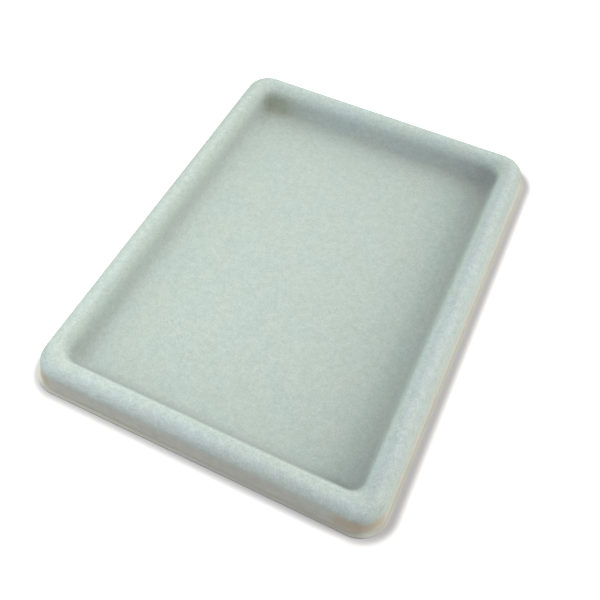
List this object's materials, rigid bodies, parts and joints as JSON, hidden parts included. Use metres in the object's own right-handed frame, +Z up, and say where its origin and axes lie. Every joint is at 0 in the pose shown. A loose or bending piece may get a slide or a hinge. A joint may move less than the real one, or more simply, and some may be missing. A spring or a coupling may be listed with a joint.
{
  "type": "bead board",
  "caption": "Flat flocked work tray with a broad rounded rim, for laying out beads and small jewellery parts without them rolling away.",
  "frame": {"origin": "on the table under the middle of the board", "axes": "+X across the board, +Y along its long side, +Z up out of the well"},
  "size_m": [0.24, 0.32, 0.02],
  "materials": {
    "shell_plastic": "satin cream sheet, trimmed edge",
    "adhesive": "dull grey-beige film with a few loose fibres, tan at the corners",
    "flock": "short even pile, pale grey-green"
  },
  "bodies": {
    "root": {"tray_shell": "shell_plastic", "adhesive_film": "adhesive", "flock_pile": "flock"}
  },
  "joints": []
}
